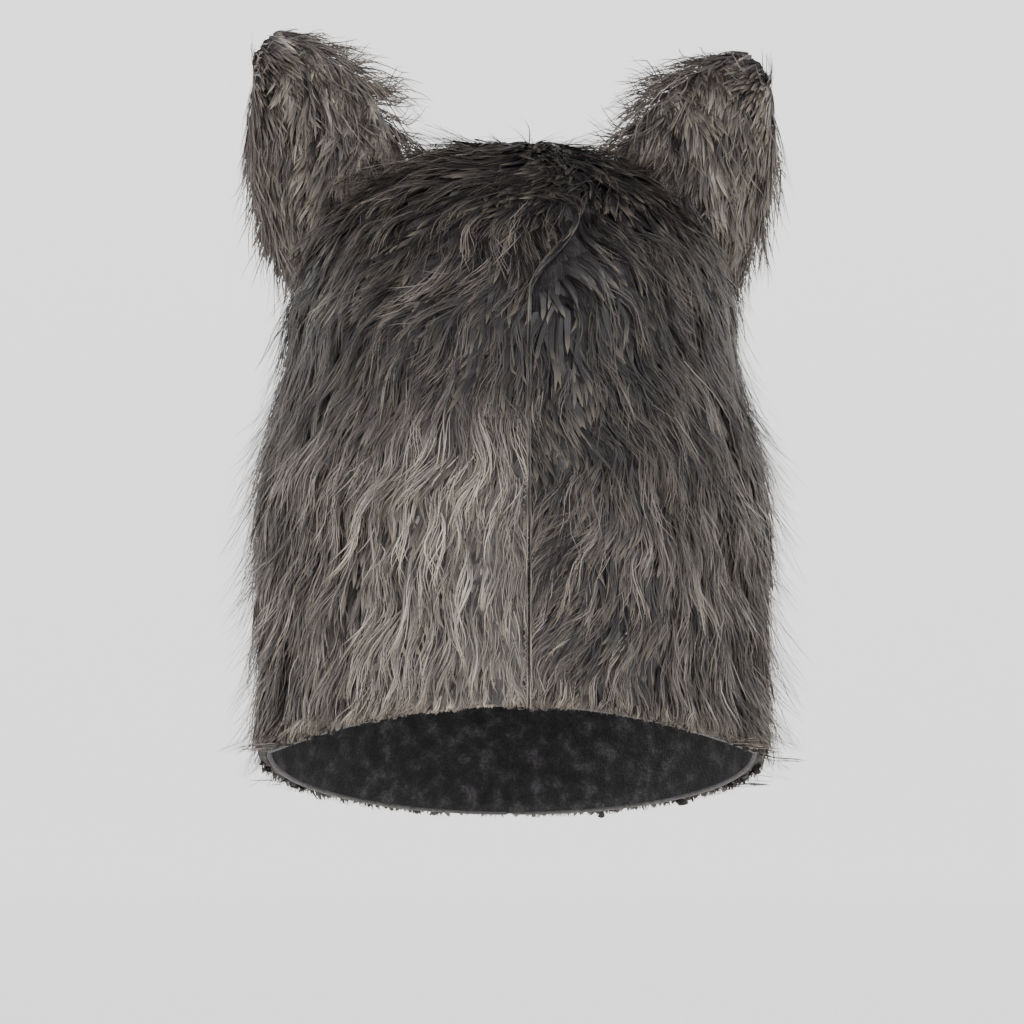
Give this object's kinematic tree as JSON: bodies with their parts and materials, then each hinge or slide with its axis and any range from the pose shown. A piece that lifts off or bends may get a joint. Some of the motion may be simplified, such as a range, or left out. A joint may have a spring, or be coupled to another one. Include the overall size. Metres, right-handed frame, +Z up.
{
  "type": "werewolf mask",
  "caption": "Full-head werewolf mask: a hood of long grey-brown fur with pointed ears, lapped down the centre back, and a plain moulded face with a muzzle.",
  "frame": {"origin": "the point inside the crown where the top of the wearer's head seats, on the mask's middle plane", "axes": "+Z up, the face looks along -Y, the wearer's left is +X"},
  "size_m": [0.246, 0.3007, 0.3741],
  "materials": {
    "fur": "long matted pile, dark at the crown and silver-brown lower down",
    "backing": "matt mottled knit",
    "face": "matt moulded",
    "nose": "satin pebbled",
    "tape": "matt woven loops"
  },
  "bodies": {
    "root": {"left_panel": "backing", "right_panel": "backing", "left_fur": "fur", "right_fur": "fur", "left_ear": "fur", "right_ear": "fur", "face": "face", "muzzle": "face", "nose": "nose", "closure_tape": "tape"}
  },
  "joints": []
}
